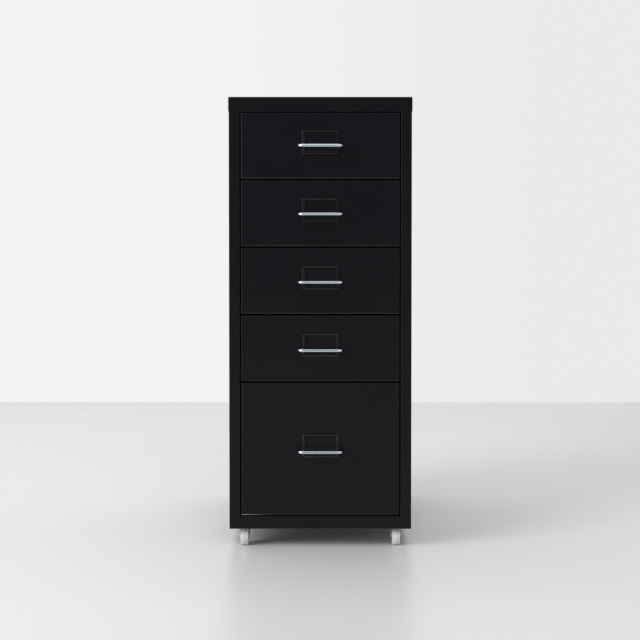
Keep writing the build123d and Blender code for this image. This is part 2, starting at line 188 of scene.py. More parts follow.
class MaterialGraph(ShaderGraph):
    """A material's node tree around its one Principled shader."""

    def __init__(self, name: str) -> None:
        """Starts a material that holds one Principled shader.

        Args:
            name: The material's name.
        """
        self.material = bpy.data.materials.new(name)
        self.material.use_nodes = True
        super().__init__(self.material.node_tree)
        self.shader = self.tree.nodes["Principled BSDF"]

    def place(self, stretch: Point = (1.0, 1.0, 1.0)) -> Socket:
        """The object's own coordinates, stretched by a factor along each axis."""
        coordinates = self.add("TexCoord").outputs["Object"]
        return self.add("Mapping", {"Vector": coordinates, "Scale": stretch}).outputs["Vector"]

    def noise(self, place: Socket, size: float, detail: float = 2.0) -> Socket:
        """Noise of about a half on average, with features of a given width and octaves of detail."""
        inputs = {"Vector": place, "Scale": 1 / size, "Detail": detail}
        return self.add("TexNoise", inputs).outputs["Fac"]

    def around(self, noise: Socket, middle: float, half: float) -> Socket:
        """A value that noise moves by at most a half width around its middle."""
        return self.span(noise, USUAL, (middle - half, middle + half))

    def bump(self, height: Socket, depth: float, strength: float) -> Socket:
        """The normal of a relief, from its height, its depth in metres and how much of it counts."""
        inputs = {"Height": height, "Distance": depth, "Strength": strength}
        return self.add("Bump", inputs).outputs["Normal"]

    def finish(self, colour: Socket, rough: Socket, normal: Socket) -> Material:
        """Joins the colour, the roughness and the relief to the shader, and gives the material."""
        self.fill(self.shader, {"Base Color": colour, "Roughness": rough, "Normal": normal})
        return self.material

    def edges(self, radius: float) -> Socket:
        """How near a point lies to an outer or inner edge.

        Args:
            radius: How far the edges reach, in metres.

        Returns:
            0 on flats, up to 1 at a sharp edge.
        """
        softened = self.add("Bevel", {"Radius": radius}, samples=EDGE_SAMPLES).outputs["Normal"]
        plain = self.add("NewGeometry").outputs["Normal"]
        alike = self.add("VectorMath", {0: softened, 1: plain}, operation="DOT_PRODUCT")
        return self.span(alike.outputs["Value"], EDGE_TURN, SHARE)

    def lower_bends(self) -> Socket:
        """Where the sheet bends away downwards.

        Returns:
            0 on flats and on upright or upper bends, up to 1 on the lower bends.
        """
        facing = self.add("SeparateXYZ", {0: self.add("NewGeometry").outputs["Normal"]}).outputs
        parts = [self.math("ABSOLUTE", part) for part in facing]
        flat = self.math("MAXIMUM", self.math("MAXIMUM", parts[0], parts[1]), parts[2])
        bent, down = self.span(flat, BEND_TURN, SHARE), self.span(facing[2], DOWNWARD, SHARE)
        return self.math("MULTIPLY", bent, down)


class GeometryGraph(NodeGraph):
    """A Geometry Nodes tree with named inputs, which ends in realized geometry with its material."""

    prefix = "GeometryNode"

    def __init__(self, name: str) -> None:
        """Starts a tree with one geometry in and one out.

        Args:
            name: The tree's name.
        """
        super().__init__(bpy.data.node_groups.new(name, "GeometryNodeTree"))
        for end, socket in (("INPUT", "Blank"), ("OUTPUT", "Fitting")):
            self.tree.interface.new_socket(socket, in_out=end, socket_type="NodeSocketGeometry")
        self.given = self.add("NodeGroupInput")
        self.values: dict[str, float | int] = {}

    @property
    def blank(self) -> Socket:
        """The geometry that the tree starts from."""
        return self.given.outputs[0]

    def size(self, name: str, value: float | int) -> Socket:
        """Adds a named input.

        Args:
            name: The input's name.
            value: Its value, a length in metres, an angle or a whole count.

        Returns:
            The socket that gives it.
        """
        kind = "NodeSocketInt" if isinstance(value, int) else "NodeSocketFloat"
        socket = self.tree.interface.new_socket(name, in_out="INPUT", socket_type=kind)
        self.values[socket.identifier] = value
        return self.given.outputs[name]

    def make(self, kind: str, inputs: Inputs | None = None, **settings: Any) -> Socket:
        """Adds a node, as add does, and gives its first output."""
        return self.add(kind, inputs, **settings).outputs[0]

    def vector(self, x: Any = 0.0, y: Any = 0.0, z: Any = 0.0) -> Socket:
        """A vector from its three parts."""
        return self.make("ShaderNodeCombineXYZ", {0: x, 1: y, 2: z})

    def on_points(self, points: Socket, blank: Socket, **more: Any) -> Socket:
        """Repeats a blank on points, with more inputs such as the Rotation or the Selection."""
        return self.make("InstanceOnPoints", {"Points": points, "Instance": blank, **more})

    def end(self, result: Socket, material: Material) -> None:
        """Realizes the result, gives it its material and joins it to the tree's output.

        Args:
            result: The finished geometry.
            material: Its material.
        """
        real = self.make("RealizeInstances", {0: result})
        dressed = self.make("SetMaterial", {"Geometry": real, "Material": material})
        self.add("NodeGroupOutput", {0: dressed})

    def shape(self, name: str, blank: Mesh, changes: dict[str, float] | None = None) -> Object:
        """Runs the tree on a blank and keeps the result as a plain mesh.

        Args:
            name: The new object's name.
            blank: The mesh that the tree starts from.
            changes: Inputs that differ from the tree's own values, by name.

        Returns:
            The object, with no modifier left on it.
        """
        piece = linked(name, blank)
        modifier = piece.modifiers.new(self.tree.name, "NODES")
        modifier.node_group = self.tree
        for item in self.tree.interface.items_tree:
            if item.identifier in self.values:
                modifier[item.identifier] = (changes or {}).get(item.name, self.values[item.identifier])
        seen = piece.evaluated_get(bpy.context.evaluated_depsgraph_get())
        mesh = bpy.data.meshes.new_from_object(seen)
        mesh.name = name
        piece.modifiers.clear()
        piece.data = mesh
        smooth(mesh)
        return piece


# Mesh work


def linked(name: str, data: bpy.types.ID) -> Object:
    """Adds a new object to the scene, at the origin.

    Args:
        name: The object's name.
        data: Its mesh, lamp or camera.

    Returns:
        The object.
    """
    made = bpy.data.objects.new(name, data)
    bpy.context.scene.collection.objects.link(made)
    return made


def smooth(mesh: Mesh) -> None:
    """Shades a mesh smoothly between its sharp edges."""
    mesh.shade_smooth()
    mesh.set_sharp_from_angle(angle=SHARP_TURN)


def as_blank(name: str, shape: Shape) -> Mesh:
    """Turns mesh work into a mesh whose faces point outwards.

    Args:
        name: The mesh's name.
        shape: The closed shape, which is freed.

    Returns:
        The mesh.
    """
    bmesh.ops.recalc_face_normals(shape, faces=shape.faces[:])
    mesh = bpy.data.meshes.new(name)
    shape.to_mesh(mesh)
    shape.free()
    smooth(mesh)
    return mesh


def as_piece(name: str, shape: Shape, material: Material) -> Object:
    """Turns mesh work into a finished object at the origin.

    Args:
        name: The object's name.
        shape: The closed shape, which is freed.
        material: Its material.

    Returns:
        The object.
    """
    mesh = as_blank(name, shape)
    mesh.materials.append(material)
    return linked(name, mesh)


def ring(shape: Shape, points: Iterable[Vector]) -> Ring:
    """Adds a loop of vertices."""
    return [shape.verts.new(point) for point in points]


def skin(shape: Shape, rings: Sequence[Ring], closed: bool = False) -> None:
    """Joins neighbouring loops with faces.

    Args:
        shape: The mesh work.
        rings: Loops of equal count, or of a single vertex at a pole.
        closed: Whether the last loop joins the first.
    """
    pairs = list(zip(rings, rings[1:]))
    if closed:
        pairs.append((rings[-1], rings[0]))
    for first, second in pairs:
        count = max(len(first), len(second))
        for index in range(count):
            after = (index + 1) % count
            corners = [first[index % len(first)], first[after % len(first)]]
            corners += [second[after % len(second)], second[index % len(second)]]
            shape.faces.new(list(dict.fromkeys(corners)))


def lathe(shape: Shape, profile: Sequence[Pair], steps: int, place: Matrix, closed: bool) -> list[Ring]:
    """Turns a profile about the place's Z axis.

    Args:
        shape: The mesh work.
        profile: Radius and height of each point. A radius of 0 is a pole.
        steps: Faces around.
        place: Where the axis lies.
        closed: Whether the profile's last point joins its first.

    Returns:
        The loops, in the profile's order.
    """
    rings = []
    for radius, height in profile:
        angles = [FULL_TURN * turn / steps for turn in range(steps if radius > 0 else 1)]
        around = [(radius * math.cos(angle), radius * math.sin(angle)) for angle in angles]
        rings.append(ring(shape, [place @ Vector((x, y, height)) for x, y in around]))
    skin(shape, rings, closed)
    return rings


def arc(middle: Pair, radius: float, start: float, end: float, steps: int) -> list[Pair]:
    """Points on an arc.

    Args:
        middle: The arc's middle.
        radius: Its radius.
        start: Its first angle in degrees.
        end: Its last angle in degrees.
        steps: Runs between the two.

    Returns:
        The points, both ends among them.
    """
    angles = [math.radians(start + (end - start) * step / steps) for step in range(steps + 1)]
    x, y = middle
    return [(x + radius * math.cos(angle), y + radius * math.sin(angle)) for angle in angles]


def dome(radius: float, height: float, base: float, steps: int) -> list[Pair]:
    """The profile of a low dome.

    Args:
        radius: Its rim's radius.
        height: Its rise, less than 0 where it points down.
        base: Its rim's height.
        steps: Runs from the rim to the pole.

    Returns:
        Radius and height of each point, from the rim to the pole.
    """
    angles = [math.pi / 2 * step / steps for step in range(steps)]
    points = [(radius * math.cos(angle), base + height * math.sin(angle)) for angle in angles]
    return [*points, (0.0, base + height)]


def rounded(low: Pair, high: Pair, corner: float, steps: int) -> list[Pair]:
    """A rectangle with rounded corners, seen from the front.

    Args:
        low: Lowest X and Z.
        high: Highest X and Z.
        corner: The corners' radius.
        steps: Runs around each corner.

    Returns:
        Its points, from the lower right corner upwards.
    """
    points = []
    for sign_x, sign_z, start in ((1, -1, -90), (1, 1, 0), (-1, 1, 90), (-1, -1, 180)):
        x = (high[0] if sign_x > 0 else low[0]) - sign_x * corner
        z = (high[1] if sign_z > 0 else low[1]) - sign_z * corner
        points += arc((x, z), corner, start, start + 90, steps)
    return points


def lying(place: Iterable[float], axis: str) -> Matrix:
    """A place whose Z axis lies along the cabinet's X or Y axis."""
    turn, angle = {"X": ("Y", 90.0), "Y": ("X", -90.0)}[axis]
    return Matrix.Translation(place) @ Matrix.Rotation(math.radians(angle), 4, turn)


def settle(piece: Object, body: str, slot: Slot, *nodes: str) -> None:
    """Puts a finished piece on its body, in place of the frame's nodes, and reports it.

    Args:
        piece: The piece.
        body: The body that carries it.
        slot: The slot that its finish belongs to; not used.
        nodes: The nodes that it stands for.
    """
    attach(piece, body)
    if nodes:
        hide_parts(*nodes)
    LOG.info("%s: %d faces on %s", piece.name, len(piece.data.polygons), body)


# Finishes


@dataclass(frozen=True)
class PowderCoat:
    """Black fine-textured powder coat on sheet steel, lighter where its edges are worn, with a painted
    highlight on its lower bends.
    """

    name: str
    colour: Colour
    rubbed_colour: Colour
    specular: float = 0.14
    roughness: float = 0.28
    roughness_spread: float = 0.022
    grain: float = 0.9 * MM
    grain_depth: float = 0.012 * MM
    relief: float = 0.6
    blotch: float = 70 * MM
    blotch_patches: float = 6.0  # handled patches across a blotch
    tone: Pair = (0.97, 1.04)
    edge_reach: float = 0.9 * MM
    handled_noise: Pair = (0.42, 0.62)
    handled_wear: Pair = (0.15, 1.0)
    rubbed_share: float = 0.55
    rubbed_polish: float = 0.10
    # painted highlight: the downward-facing bends are painted lighter, in place of the pale floor's
    # reflection in them
    painted_lower_bend_highlight: Colour = (0.027, 0.027, 0.029)
    # painted highlight: a pale streak along the lower bend that fades away from one corner, in place of
    # a reflection there
    painted_glint_colour: Colour = (0.30, 0.30, 0.32)
    painted_glint_reach: Pair = (48 * MM, 6 * MM)
    painted_glint_fade: float = 1.6
    painted_glint_corner: Point | None = None

    def paint_corner_glint(self, graph: MaterialGraph, bends: Socket, colour: Socket) -> Socket:
        """Paints a pale highlight along the lower bend, fading away from one corner, in place of a
        reflection there.

        Args:
            graph: The material's node tree.
            bends: Where the lower bends are.
            colour: The coat's colour.

        Returns:
            The colour with the painted highlight.
        """
        away = graph.add("VectorMath", {0: graph.place(), 1: self.painted_glint_corner}, operation="DISTANCE")
        near = graph.span(away.outputs["Value"], self.painted_glint_reach, SHARE)
        share = graph.math("MULTIPLY", graph.math("POWER", near, self.painted_glint_fade), bends)
        return graph.mix(share, colour, self.painted_glint_colour)

    def make(self) -> Material:
        """Builds the material.

        Returns:
            The material.
        """
        graph = MaterialGraph(self.name)
        place = graph.place()
        grain = graph.noise(place, self.grain, detail=3.0)
        blotch = graph.noise(place, self.blotch)
        handled = graph.noise(place, self.blotch / self.blotch_patches, detail=4.0)
        worn = graph.span(handled, self.handled_noise, self.handled_wear)
        worn = graph.math("MULTIPLY", graph.edges(self.edge_reach), worn)
        tone = graph.span(blotch, USUAL, self.tone)
        coat = graph.add("VectorMath", {0: self.colour, "Scale": tone}, operation="SCALE")
        rubbed = graph.math("MULTIPLY", worn, self.rubbed_share)
        colour = graph.mix(rubbed, coat.outputs["Vector"], self.rubbed_colour)
        bends = graph.lower_bends()
        # painted highlight: the lower bends get a lighter colour, as if they reflected the floor
        colour = graph.mix(bends, colour, self.painted_lower_bend_highlight)
        # painted highlight along the lower bend near one corner
        if self.painted_glint_corner is not None:
            colour = self.paint_corner_glint(graph, bends, colour)
        rough = graph.around(blotch, self.roughness, self.roughness_spread)
        rough = graph.math("ADD", rough, graph.around(grain, 0.0, self.roughness_spread))
        rough = graph.math("SUBTRACT", rough, graph.math("MULTIPLY", worn, self.rubbed_polish))
        graph.shader.inputs["Specular IOR Level"].default_value = self.specular
        return graph.finish(colour, rough, graph.bump(grain, self.grain_depth, self.relief))


@dataclass(frozen=True)
class PlatedMetal:
    """Bright plating on steel: chrome on the wires, zinc on the casters, black oxide on the screws."""

    name: str
    colour: Colour
    tint: Colour
    roughness: float
    roughness_spread: float
    crystal: float = 1.6 * MM
    cloud: float = 5.0  # a cloud's width, in crystals
    cloud_noise: Pair = (0.35, 0.68)
    drawn: Point = (1.0, 1.0, 1.0)
    depth: float = 0.004 * MM
    relief: float = 0.5
    edge_reach: float = 0.35 * MM
    metallic: float = 1.0

    def make(self) -> Material:
        """Builds the material.

        Returns:
            The material.
        """
        graph = MaterialGraph(self.name)
        cloud = graph.noise(graph.place(), self.crystal * self.cloud, detail=3.0)
        line = graph.noise(graph.place(self.drawn), self.crystal, detail=4.0)
        colour = graph.mix(graph.span(cloud, self.cloud_noise, SHARE), self.colour, self.tint)
        rough = graph.around(line, self.roughness, self.roughness_spread)
        polished = graph.math("MULTIPLY", graph.edges(self.edge_reach), self.roughness_spread)
        rough = graph.math("SUBTRACT", rough, polished)
        graph.shader.inputs["Metallic"].default_value = self.metallic
        return graph.finish(colour, rough, graph.bump(line, self.depth, self.relief))


@dataclass(frozen=True)
class MouldedNylon:
    """White moulded nylon, scuffed grey where the tread rolls on the floor."""

    name: str = "white_nylon"
    colour: Colour = (0.70, 0.72, 0.73)
    scuffed_colour: Colour = (0.48, 0.49, 0.49)
    scuff: float = 2.2 * MM
    scuff_noise: Pair = (0.45, 0.72)
    scuff_share: Pair = (0.06, 0.60)
    scuff_dulling: float = 0.3
    roughness: float = 0.36
    roughness_spread: float = 0.04
    grain: float = 0.35 * MM
    grain_depth: float = 0.01 * MM
    relief: float = 0.4
    tread_attribute: str = "tread"

    def make(self) -> Material:
        """Builds the material.

        Returns:
            The material.
        """
        graph = MaterialGraph(self.name)
        place = graph.place()
        scuff = graph.noise(place, self.scuff, detail=5.0)
        grain = graph.noise(place, self.grain)
        tread = graph.add("Attribute", attribute_name=self.tread_attribute).outputs["Fac"]
        worn = graph.math("MULTIPLY", tread, graph.span(scuff, self.scuff_noise, self.scuff_share))
        colour = graph.mix(worn, self.colour, self.scuffed_colour)
        rough = graph.around(grain, self.roughness, self.roughness_spread)
        rough = graph.math("ADD", rough, graph.math("MULTIPLY", worn, self.scuff_dulling))
        return graph.finish(colour, rough, graph.bump(grain, self.grain_depth, self.relief))


@dataclass
class Finishes:
    """The cabinet's finishes, one material for each slot, and two that only some pieces have."""

    black: PowderCoat = PowderCoat(
        "satin_black_powder_coat", (0.0068, 0.0070, 0.0089), (0.023, 0.023, 0.025)
    )
    rails: PowderCoat = PowderCoat(
        "black_rail_coat", (0.0080, 0.0080, 0.0086), (0.030, 0.030, 0.031),
        specular=0.30, roughness=0.34
    )
    chrome: PlatedMetal = PlatedMetal(
        "bright_chrome", (0.71, 0.80, 0.86), (0.66, 0.74, 0.80), 0.06, 0.02, drawn=(0.05, 1.0, 1.0)
    )
    zinc: PlatedMetal = PlatedMetal(
        "bright_zinc", (0.64, 0.65, 0.67), (0.55, 0.56, 0.60), 0.30, 0.06,
        crystal=2.4 * MM, depth=0.01 * MM
    )
    oxide: PlatedMetal = PlatedMetal(
        "black_oxide", (0.028, 0.028, 0.031), (0.018, 0.018, 0.021), 0.38, 0.06, metallic=0.6
    )
    nylon: MouldedNylon = MouldedNylon()
    holder: PowderCoat = PowderCoat(
        "label_holder_enamel", (0.0048, 0.0052, 0.0068), (0.017, 0.018, 0.021),
        specular=0.46, roughness=0.22, grain=0.5 * MM, grain_depth=0.004 * MM, edge_reach=0.4 * MM
    )
    # the front whose lower left corner gets a painted highlight along its lower bend
    painted_glint_node: str = "drawer_5_front"
    made: dict[Slot, Material] = field(default_factory=dict)
    enamel: Material | None = None

    def make(self) -> None:
        """Builds the materials of the slots and of the label holders."""
        self.made = {
            Slot.BLACK_STEEL: self.black.make(),
            Slot.BLACK_RAILS: self.rails.make(),
            Slot.CHROME: self.chrome.make(),
            Slot.ZINC: self.zinc.make(),
            Slot.BLACK_SCREWS: self.oxide.make(),
            Slot.WHITE_NYLON: self.nylon.make(),
        }
        self.enamel = self.holder.make()

    def dress_nodes(self, frame: dict[str, Any]) -> None:
        """Gives each carried-over node the finish of its slot, and one front a painted highlight along
        the lower bend by its corner.

        Args:
            frame: The loaded frame.
        """
        # painted highlight: one front's coat is lighter along its lower bend near its lower left corner
        corner = tuple(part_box(self.painted_glint_node)[0])
        worn = replace(self.black, name="worn_powder_coat", painted_glint_corner=corner).make()
        for part in frame["record"]["subparts"]:
            node = part["node"]
            material = worn if node == self.painted_glint_node else self.made[Slot(part["material_slot"])]
            for slot in frame["nodes"][node].material_slots:
                slot.material = material


@dataclass
class Fitting:
    """A kind of fitting, with the finishes that it is dressed in."""

    finishes: Finishes


@dataclass
class DrawerFitting(Fitting):
    """A kind of fitting that every drawer has, with each drawer's body and its handle's height."""

    drawers: dict[str, float]


# Drawer fittings


@dataclass
class WireHandles(DrawerFitting):
    """One bent chrome wire on each drawer: a bar, and a leg at each end through the drawer front."""

    leg_x: float = 32.2 * MM
    front_y: float = -187.0 * MM
    bar_y: float = -212.7 * MM
    wire: float = 2.3 * MM
    bend: float = 6.0 * MM
    tail: float = 1.8 * MM
    tail_end: float = 5.7 * MM
    around: int = 28
    bend_steps: int = 14

    def tree(self) -> GeometryGraph:
        """Builds the tree that turns a handle's four corners into bent wire.

        Returns:
            The tree.
        """
        graph = GeometryGraph("wire_bail")
        wire, bend = graph.size("Wire Radius", self.wire), graph.size("Bend Radius", self.bend)
        tail, end = graph.size("Tail Radius", self.tail), graph.size("Tail End", self.tail_end)
        around, steps = graph.size("Around", self.around), graph.size("Bend Steps", self.bend_steps)
        route = graph.make("MeshToCurve", {0: graph.blank})
        bent = graph.make("FilletCurve", {"Curve": route, "Radius": bend, "Count": steps}, mode="POLY")
        circle = graph.make("CurvePrimitiveCircle", {"Radius": wire, "Resolution": around})
        bar = graph.make("CurveToMesh", {"Curve": bent, "Profile Curve": circle, "Fill Caps": True})
        depth = graph.math("ADD", end, wire)
        pin = graph.make("MeshCylinder", {"Vertices": around, "Radius": tail, "Depth": depth})
        middle = graph.math("MULTIPLY", graph.math("SUBTRACT", end, wire), 0.5)
        along = {"Translation": graph.vector(0.0, middle), "Rotation": (math.pi / 2, 0.0, 0.0)}
        laid = graph.make("Transform", {"Geometry": pin, **along})
        pins = graph.on_points(route, laid, Selection=graph.make("CurveEndpointSelection"))
        joined = graph.add("JoinGeometry")
        for socket in (bar, pins):
            graph.fill(joined, {0: socket})
        graph.end(joined.outputs[0], self.finishes.made[Slot.CHROME])
        return graph

    def build(self) -> None:
        """Bends every drawer's handle."""
        graph = self.tree()
        for body, z in self.drawers.items():
            corners = [(-self.leg_x, self.front_y, z), (-self.leg_x, self.bar_y, z)]
            corners += [(self.leg_x, self.bar_y, z), (self.leg_x, self.front_y, z)]
            route = bpy.data.meshes.new(f"{body}_wire_route")
            route.from_pydata(corners, [(0, 1), (1, 2), (2, 3)], [])
            piece = graph.shape(f"{body}_wire_handle", route)
            settle(piece, body, Slot.CHROME, f"{body}_handle")


@dataclass
class PushOnWashers(DrawerFitting):
    """Two sprung washers behind each drawer front, whose prongs grip the wire's ends."""

    leg_x: float = 32.2 * MM
    seat_y: float = -186.3 * MM
    radius: float = 5.0 * MM
    bore: float = 1.82 * MM
    root: float = 3.3 * MM
    rim: float = 0.35 * MM
    thickness: float = 0.8 * MM
    prongs: int = 6
    slit: float = 0.20
    steps: int = 5

    def blank(self) -> Mesh:
        """Builds one sector of the washer with its prong, about the Y axis.

        Returns:
            The sector's mesh.
        """
        shape = bmesh.new()
        half = math.pi / self.prongs
        profile = [(self.radius, 0.0), (self.root, 0.0), (self.bore, self.thickness - self.rim)]
        rings = []
        for step in range(self.steps + 1):
            share = 2 * step / self.steps - 1
            lower, upper = [], []
            for radius, lift in profile:
                angle = share * half * (1.0 if radius == self.radius else 1.0 - self.slit)
                x, z = radius * math.cos(angle), radius * math.sin(angle)
                lower.append(Vector((x, lift, z)))
                upper.append(Vector((x, lift + self.rim, z)))
            rings.append(ring(shape, lower + upper[::-1]))
        skin(shape, rings)
        shape.faces.new(rings[0])
        shape.faces.new(rings[-1][::-1])
        return as_blank("washer_sector", shape)

    def tree(self) -> GeometryGraph:
        """Builds the tree that repeats the prongs around each washer and places the pair.

        Returns:
            The tree.
        """
        graph = GeometryGraph("push_on_washers")
        prongs, spacing = graph.size("Prongs", self.prongs), graph.size("Leg Spacing", 2 * self.leg_x)
        seat, height = graph.size("Seat Y", self.seat_y), graph.size("Height Z", 0.0)
        step = graph.math("DIVIDE", FULL_TURN, prongs)
        turn = graph.vector(0.0, graph.math("MULTIPLY", graph.make("InputIndex"), step))
        washer = graph.on_points(graph.make("Points", {"Count": prongs}), graph.blank, Rotation=turn)
        start = graph.vector(graph.math("MULTIPLY", spacing, -0.5), seat, height)
        line = {"Count": 2, "Start Location": start, "Offset": graph.vector(spacing)}
        placed = graph.on_points(graph.make("MeshLine", line), washer)
        graph.end(placed, self.finishes.made[Slot.ZINC])
        return graph

    def build(self) -> None:
        """Pushes a pair of washers on every handle."""
        graph = self.tree()
        for body, z in self.drawers.items():
            piece = graph.shape(f"{body}_push_on_washers", self.blank(), {"Height Z": z})
            settle(piece, body, Slot.ZINC, f"{body}_handle_washers")


@dataclass
class LabelHolders(DrawerFitting):
    """Pressed card holders: a frame held off the drawer front, open at the top behind its upper bar."""

    half_width: float = 27.5 * MM
    above: float = 23.9 * MM
    below: float = 11.6 * MM
    front_y: float = -187.0 * MM
    proud: float = 2.2 * MM
    sheet: float = 0.8 * MM
    side_bar: float = 3.4 * MM
    top_bar: float = 2.6 * MM
    bottom_bar: float = 4.4 * MM
    corner: float = 2.0 * MM
    window_corner: float = 1.0 * MM
    outer_round: float = 0.9 * MM
    inner_round: float = 0.2 * MM
    slot_floor: float = 1.28 * MM
    slot_drop: float = 0.6 * MM
    outer_steps: int = 6
    inner_steps: int = 2
    corner_steps: int = 8
    tab_heights: Pair = (6.4 * MM, 14.4 * MM)
    tab_rear: float = 2.2 * MM
    tab_sheet: float = 0.7 * MM
    tab_bevel: float = 0.15 * MM
    tab_steps: int = 2

    def section(self, width: float, base: float) -> list[Pair]:
        """The bar's section at one place around the frame.

        Args:
            width: The bar's width there.
            base: Height over the drawer front that the bar's outer wall starts at.

        Returns:
            Distance from the outer edge and height over the drawer front, around the section.
        """
        outer, inner, top = self.outer_round, self.inner_round, self.proud
        back = top - self.sheet
        return [
            (0.0, base),
            *arc((outer, top - outer), outer, 180, 90, self.outer_steps),
            *arc((width - inner, top - inner), inner, 90, 0, self.inner_steps),
            (width, back), (self.sheet, back), (self.sheet, base),
        ]

    def frame(self, z: float) -> Shape:
        """The pressed frame, with a tab at each side that passes the drawer front.

        Args:
            z: The handle's height.

        Returns:
            The mesh work.
        """
        low, high = (-self.half_width, -self.below), (self.half_width, self.above)
        inner_low = (low[0] + self.side_bar, low[1] + self.bottom_bar)
        inner_high = (high[0] - self.side_bar, high[1] - self.top_bar)
        outer = rounded(low, high, self.corner, self.corner_steps)
        inner = rounded(inner_low, inner_high, self.window_corner, self.corner_steps)
        shape = bmesh.new()
        rings = []
        for (x_out, z_out), (x_in, z_in) in zip(outer, inner):
            width = math.hypot(x_in - x_out, z_in - z_out)
            base = self.slot_floor if z_out > high[1] - self.slot_drop else 0.0
            points = []
            for inset, lift in self.section(width, base):
                x = x_out + (x_in - x_out) * inset / width
                height = z_out + (z_in - z_out) * inset / width
                points.append(Vector((x, self.front_y - lift, z + height)))
            rings.append(ring(shape, points))
        skin(shape, rings, closed=True)
        for side in (-1, 1):
            self.tab(shape, side, z)
        return shape

    def tab(self, shape: Shape, side: int, z: float) -> None:
        """Adds one tab.

        Args:
            shape: The mesh work.
            side: The sign of its X.
            z: The handle's height.
        """
        length = self.tab_rear + self.sheet
        low, high = (z + height for height in self.tab_heights)
        size = Matrix.Diagonal((self.tab_sheet, length, high - low, 1.0))
        x = side * (self.half_width - self.sheet / 2)
        middle = (x, self.front_y + self.tab_rear - length / 2, (low + high) / 2)
        made = bmesh.ops.create_cube(shape, size=1.0, matrix=Matrix.Translation(middle) @ size)
        edges = list({edge for vert in made["verts"] for edge in vert.link_edges})
        bevel = {"offset": self.tab_bevel, "segments": self.tab_steps, "profile": 0.5}
        bmesh.ops.bevel(shape, geom=edges, affect="EDGES", **bevel)

    def build(self) -> None:
        """Presses every drawer's label holder."""
        for body, z in self.drawers.items():
            piece = as_piece(f"{body}_card_holder", self.frame(z), self.finishes.enamel)
            settle(piece, body, Slot.BLACK_STEEL, f"{body}_label_holder")


# Fasteners and welds


@dataclass
class BackScrews(Fitting):
    """Pan-head screws with a cross recess that hold the back panel, at a different turn each."""

    column_x: float = 128.8 * MM
    first_z: float = 62.0 * MM
    last_z: float = 636.0 * MM
    rows: int = 4
    seat_y: float = 213.7 * MM
    head: float = 3.2 * MM
    height: float = 1.3 * MM
    rounding: float = 0.6  # the head's rounding, as a share of its height
    rounding_end: float = 80.0  # the angle at which the head's flat crown starts
    rounding_steps: int = 5
    shank: float = 1.6 * MM
    length: float = 6.5 * MM
    tip: Pair = (0.5 * MM, 0.1 * MM)
    root: float = 1.25 * MM
    flank: float = 0.35  # a thread's lower flank, as a share of its pitch
    threads: int = 5
    around: int = 24
    cross_arm: float = 1.75 * MM
    cross_half: float = 0.42 * MM
    cross_depth: float = 1.0 * MM
    cross_floor: float = 0.45  # the recess's size at its depth, as a share of its mouth
    cross_point: float = 1.15  # the depth of its point, as a share of its depth
    turn_seed: int = 11

    def cross(self, scale: float, height: float, place: Matrix) -> list[Vector]:
        """The cross recess's outline at one depth.

        Args:
            scale: Its size, as a share of its mouth.
            height: Its height over the screw's seat.
            place: The screw's place.

        Returns:
            Its 24 points.
        """
        arm, half = self.cross_arm * scale, self.cross_half * (1 + scale) / 2
        middle = (arm + half) / 2
        quarter = [(arm, 0.0), (arm, half), (middle, half), (half, half), (half, middle), (half, arm)]
        points = []
        for turn in range(4):
            rotation = Matrix.Rotation(turn * math.pi / 2, 4, "Z")
            points += [place @ rotation @ Vector((x, y, height)) for x, y in quarter]
        return points

    def blank(self) -> Mesh:
        """Builds one screw whose head points along Y.

        Returns:
            The screw's mesh.
        """
        shape = bmesh.new()
        place = lying((0.0, 0.0, 0.0), "Y")
        pitch = self.length / (self.threads + 1)
        profile = [(0.0, -self.length), (self.tip[0], self.tip[1] - self.length)]
        for thread in range(self.threads, 0, -1):
            profile += [(self.root, -pitch * (thread + self.flank)), (self.shank, -pitch * thread)]
        profile += [(self.root, -pitch * 0.5), (self.root, 0.0), (self.head, 0.0)]
        crown, radius = self.height, self.height * self.rounding
        middle = (self.head - radius, crown - radius)
        profile += arc(middle, radius, 0, self.rounding_end, self.rounding_steps)
        rings = lathe(shape, profile, self.around, place, False)
        mouth = ring(shape, self.cross(1.0, crown, place))
        floor = ring(shape, self.cross(self.cross_floor, crown - self.cross_depth, place))
        point = ring(shape, [place @ Vector((0.0, 0.0, crown - self.cross_depth * self.cross_point))])
        skin(shape, [rings[-1], mouth, floor, point])
        return as_blank("pan_head_screw", shape)

    def build(self) -> None:
        """Drives every screw."""
        graph = GeometryGraph("screw_columns")
        rows, x = graph.size("Rows", self.rows), graph.size("Column X", self.column_x)
        first, last = graph.size("First Z", self.first_z), graph.size("Last Z", self.last_z)
        seat, seed = graph.size("Seat Y", self.seat_y), graph.size("Turn Seed", self.turn_seed)
        index = graph.make("InputIndex")
        column = graph.math("MODULO", index, 2.0)
        side = graph.math("SUBTRACT", graph.math("MULTIPLY", column, 2.0), 1.0)
        row = graph.math("FLOOR", graph.math("DIVIDE", index, 2.0))
        rise, gaps = graph.math("SUBTRACT", last, first), graph.math("SUBTRACT", rows, 1.0)
        up = graph.math("MULTIPLY", row, graph.math("DIVIDE", rise, gaps))
        height = graph.math("ADD", first, up)
        place = graph.vector(graph.math("MULTIPLY", side, x), seat, height)
        count = graph.math("MULTIPLY", rows, 2.0)
        points = graph.make("Points", {"Count": count, "Position": place})
        random = graph.add("FunctionNodeRandomValue", {"Max": math.pi, "Seed": seed}, data_type="FLOAT")
        turn = graph.vector(0.0, [socket for socket in random.outputs if socket.enabled][0])
        screws = graph.on_points(points, graph.blank, Rotation=turn)
        graph.end(screws, self.finishes.made[Slot.BLACK_SCREWS])
        piece = graph.shape("back_pan_head_screws", self.blank())
        settle(piece, "cabinet", Slot.BLACK_SCREWS, "back_screws")


